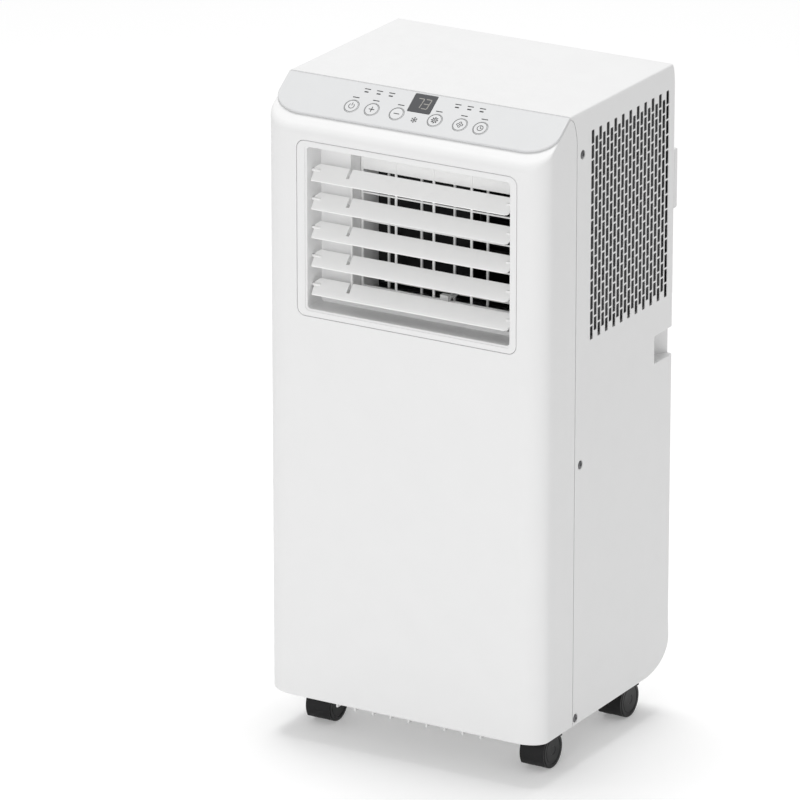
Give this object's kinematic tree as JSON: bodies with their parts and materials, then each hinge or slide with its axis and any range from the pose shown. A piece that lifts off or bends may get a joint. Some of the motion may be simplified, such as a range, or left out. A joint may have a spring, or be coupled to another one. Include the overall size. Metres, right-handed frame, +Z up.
{
  "type": "portable air conditioner",
  "caption": "Upright portable air conditioner with a sloped key panel, tilting louvres, side intake, rear exhaust ring and swivel casters.",
  "frame": {"origin": "on the floor, under the middle of the whole object's box", "axes": "+Z up; the front with its louvres faces -Y; +X is the side with the intake slots"},
  "size_m": [0.3058, 0.267, 0.66],
  "materials": {
    "white_plastic": "white moulded ABS with a fine satin grain",
    "panel_plastic": "pale grey satin panel",
    "key_plastic": "pale grey key cap with a printed ring and symbol",
    "dark_window": "smoked display window",
    "black_plastic": "black moulded plastic",
    "circuit_board": "green board laminate",
    "fin_aluminium": "close-pitched fins",
    "galvanised_steel": "galvanised sheet steel",
    "copper_tube": null,
    "black_paint": "black enamel on steel",
    "grey_rubber": "dark rubber",
    "screw_steel": "darkened screw steel",
    "filter_mesh": "dark grey frame with a fine net"
  },
  "bodies": {
    "casing": {"front_shell": "white_plastic", "rear_casing": "white_plastic", "rear_grille": "white_plastic", "casing_screw_left_top": "screw_steel", "casing_screw_left_middle": "screw_steel", "casing_screw_left_bottom": "screw_steel", "casing_screw_right_top": "screw_steel", "casing_screw_right_middle": "screw_steel", "casing_screw_right_bottom": "screw_steel", "base_pan": "white_plastic", "control_panel": "panel_plastic", "display_window": "dark_window", "control_board": "circuit_board", "vent_housing": "white_plastic", "outlet_guard": "white_plastic", "louvre_motor": "galvanised_steel", "mid_deck": "white_plastic", "evaporator_coil": "fin_aluminium", "evaporator_scroll": "black_plastic", "evaporator_motor": "galvanised_steel", "condenser_coil": "fin_aluminium", "condenser_scroll": "black_plastic", "condenser_motor": "galvanised_steel", "exhaust_collar": "white_plastic", "compressor": "black_paint", "suction_pipe": "copper_tube", "discharge_pipe": "copper_tube", "electric_box": "galvanised_steel", "run_capacitor": "galvanised_steel", "cord_gland": "black_plastic", "drain_plug": "grey_rubber"},
    "key_power": {"key_power": "key_plastic"},
    "key_temp_up": {"key_temp_up": "key_plastic"},
    "key_temp_down": {"key_temp_down": "key_plastic"},
    "key_mode": {"key_mode": "key_plastic"},
    "key_speed": {"key_speed": "key_plastic"},
    "key_timer": {"key_timer": "key_plastic"},
    "louvre_1": {"louvre_1": "white_plastic"},
    "louvre_2": {"louvre_2": "white_plastic"},
    "louvre_3": {"louvre_3": "white_plastic"},
    "louvre_4": {"louvre_4": "white_plastic"},
    "louvre_5": {"louvre_5": "white_plastic"},
    "louvre_link": {"louvre_link": "white_plastic"},
    "vane_1": {"vane_1": "white_plastic"},
    "vane_2": {"vane_2": "white_plastic"},
    "vane_3": {"vane_3": "white_plastic"},
    "vane_4": {"vane_4": "white_plastic"},
    "vane_5": {"vane_5": "white_plastic"},
    "vane_link": {"vane_link": "white_plastic"},
    "caster_front_left": {"caster_front_left": "black_plastic"},
    "caster_wheels_front_left": {"caster_wheels_front_left": "black_plastic"},
    "caster_front_right": {"caster_front_right": "black_plastic"},
    "caster_wheels_front_right": {"caster_wheels_front_right": "black_plastic"},
    "caster_rear_left": {"caster_rear_left": "black_plastic"},
    "caster_wheels_rear_left": {"caster_wheels_rear_left": "black_plastic"},
    "caster_rear_right": {"caster_rear_right": "black_plastic"},
    "caster_wheels_rear_right": {"caster_wheels_rear_right": "black_plastic"},
    "evaporator_wheel": {"evaporator_wheel": "black_plastic"},
    "condenser_wheel": {"condenser_wheel": "black_plastic"},
    "side_filter": {"side_filter": "filter_mesh"}
  },
  "joints": [
    {"name": "key_power_press", "type": "slide", "parent": "casing", "child": "key_power", "axis": [0, 0.5807, -0.8141], "range_m": [0, 0.0008], "stiffness_N_per_m": 300, "springref_m": -0.0005},
    {"name": "key_temp_up_press", "type": "slide", "parent": "casing", "child": "key_temp_up", "axis": [0, 0.5807, -0.8141], "range_m": [0, 0.0008], "stiffness_N_per_m": 300, "springref_m": -0.0005},
    {"name": "key_temp_down_press", "type": "slide", "parent": "casing", "child": "key_temp_down", "axis": [0, 0.5807, -0.8141], "range_m": [0, 0.0008], "stiffness_N_per_m": 300, "springref_m": -0.0005},
    {"name": "key_mode_press", "type": "slide", "parent": "casing", "child": "key_mode", "axis": [0, 0.5807, -0.8141], "range_m": [0, 0.0008], "stiffness_N_per_m": 300, "springref_m": -0.0005},
    {"name": "key_speed_press", "type": "slide", "parent": "casing", "child": "key_speed", "axis": [0, 0.5807, -0.8141], "range_m": [0, 0.0008], "stiffness_N_per_m": 300, "springref_m": -0.0005},
    {"name": "key_timer_press", "type": "slide", "parent": "casing", "child": "key_timer", "axis": [0, 0.5807, -0.8141], "range_m": [0, 0.0008], "stiffness_N_per_m": 300, "springref_m": -0.0005},
    {"name": "louvre_1_tilt", "type": "hinge", "parent": "casing", "child": "louvre_1", "pos_m": [0, -0.1225, 0.5786], "axis": [1, 0, 0], "range_deg": [-25, 40]},
    {"name": "louvre_2_tilt", "type": "hinge", "parent": "casing", "child": "louvre_2", "pos_m": [0, -0.1225, 0.5502], "axis": [1, 0, 0], "range_deg": [-25, 40]},
    {"name": "louvre_3_tilt", "type": "hinge", "parent": "casing", "child": "louvre_3", "pos_m": [0, -0.1225, 0.5218], "axis": [1, 0, 0], "range_deg": [-25, 40]},
    {"name": "louvre_4_tilt", "type": "hinge", "parent": "casing", "child": "louvre_4", "pos_m": [0, -0.1225, 0.4934], "axis": [1, 0, 0], "range_deg": [-25, 40]},
    {"name": "louvre_5_tilt", "type": "hinge", "parent": "casing", "child": "louvre_5", "pos_m": [0, -0.1225, 0.465], "axis": [1, 0, 0], "range_deg": [-25, 40]},
    {"name": "louvre_link_swing", "type": "hinge", "parent": "louvre_1", "child": "louvre_link", "pos_m": [-0.064, -0.11618, 0.57291], "axis": [1, 0, 0], "range_deg": [-40, 25]},
    {"name": "vane_1_swing", "type": "hinge", "parent": "casing", "child": "vane_1", "pos_m": [-0.0505, -0.071, 0.4487], "axis": [0, 0, 1], "range_deg": [-60, 0]},
    {"name": "vane_2_swing", "type": "hinge", "parent": "casing", "child": "vane_2", "pos_m": [-0.0144, -0.071, 0.4487], "axis": [0, 0, 1], "range_deg": [-60, 0]},
    {"name": "vane_3_swing", "type": "hinge", "parent": "casing", "child": "vane_3", "pos_m": [0.0217, -0.071, 0.4487], "axis": [0, 0, 1], "range_deg": [-60, 0]},
    {"name": "vane_4_swing", "type": "hinge", "parent": "casing", "child": "vane_4", "pos_m": [0.0578, -0.071, 0.4487], "axis": [0, 0, 1], "range_deg": [-60, 0]},
    {"name": "vane_5_swing", "type": "hinge", "parent": "casing", "child": "vane_5", "pos_m": [0.0939, -0.071, 0.4487], "axis": [0, 0, 1], "range_deg": [-60, 0]},
    {"name": "vane_link_swing", "type": "hinge", "parent": "vane_1", "child": "vane_link", "pos_m": [-0.046, -0.07879, 0.465], "axis": [0, 0, 1], "range_deg": [0, 60]},
    {"name": "caster_front_left_swivel", "type": "hinge", "parent": "casing", "child": "caster_front_left", "pos_m": [-0.12, -0.0815, 0], "axis": [0, 0, 1], "continuous": true},
    {"name": "caster_wheels_front_left_roll", "type": "hinge", "parent": "caster_front_left", "child": "caster_wheels_front_left", "pos_m": [-0.12, -0.0715, 0.018], "axis": [1, 0, 0], "continuous": true},
    {"name": "caster_front_right_swivel", "type": "hinge", "parent": "casing", "child": "caster_front_right", "pos_m": [0.12, -0.0815, 0], "axis": [0, 0, 1], "continuous": true},
    {"name": "caster_wheels_front_right_roll", "type": "hinge", "parent": "caster_front_right", "child": "caster_wheels_front_right", "pos_m": [0.12, -0.0715, 0.018], "axis": [1, 0, 0], "continuous": true},
    {"name": "caster_rear_left_swivel", "type": "hinge", "parent": "casing", "child": "caster_rear_left", "pos_m": [-0.12, 0.0715, 0], "axis": [0, 0, 1], "continuous": true},
    {"name": "caster_wheels_rear_left_roll", "type": "hinge", "parent": "caster_rear_left", "child": "caster_wheels_rear_left", "pos_m": [-0.12, 0.0815, 0.018], "axis": [1, 0, 0], "continuous": true},
    {"name": "caster_rear_right_swivel", "type": "hinge", "parent": "casing", "child": "caster_rear_right", "pos_m": [0.12, 0.0715, 0], "axis": [0, 0, 1], "continuous": true},
    {"name": "caster_wheels_rear_right_roll", "type": "hinge", "parent": "caster_rear_right", "child": "caster_wheels_rear_right", "pos_m": [0.12, 0.0815, 0.018], "axis": [1, 0, 0], "continuous": true},
    {"name": "evaporator_wheel_spin", "type": "hinge", "parent": "casing", "child": "evaporator_wheel", "pos_m": [0.052, 0.045, 0.52], "axis": [1, 0, 0], "continuous": true},
    {"name": "condenser_wheel_spin", "type": "hinge", "parent": "casing", "child": "condenser_wheel", "pos_m": [-0.052, 0.03, 0.3], "axis": [1, 0, 0], "continuous": true},
    {"name": "side_filter_draw", "type": "slide", "parent": "casing", "child": "side_filter", "axis": [0, 1, 0], "range_m": [0, 0.16]}
  ],
  "couplings": [
    {"joint": "louvre_2_tilt", "follows": "louvre_1_tilt", "ratio": 1},
    {"joint": "louvre_3_tilt", "follows": "louvre_1_tilt", "ratio": 1},
    {"joint": "louvre_4_tilt", "follows": "louvre_1_tilt", "ratio": 1},
    {"joint": "louvre_5_tilt", "follows": "louvre_1_tilt", "ratio": 1},
    {"joint": "louvre_link_swing", "follows": "louvre_1_tilt", "ratio": -1},
    {"joint": "vane_2_swing", "follows": "vane_1_swing", "ratio": 1},
    {"joint": "vane_3_swing", "follows": "vane_1_swing", "ratio": 1},
    {"joint": "vane_4_swing", "follows": "vane_1_swing", "ratio": 1},
    {"joint": "vane_5_swing", "follows": "vane_1_swing", "ratio": 1},
    {"joint": "vane_link_swing", "follows": "vane_1_swing", "ratio": -1}
  ]
}
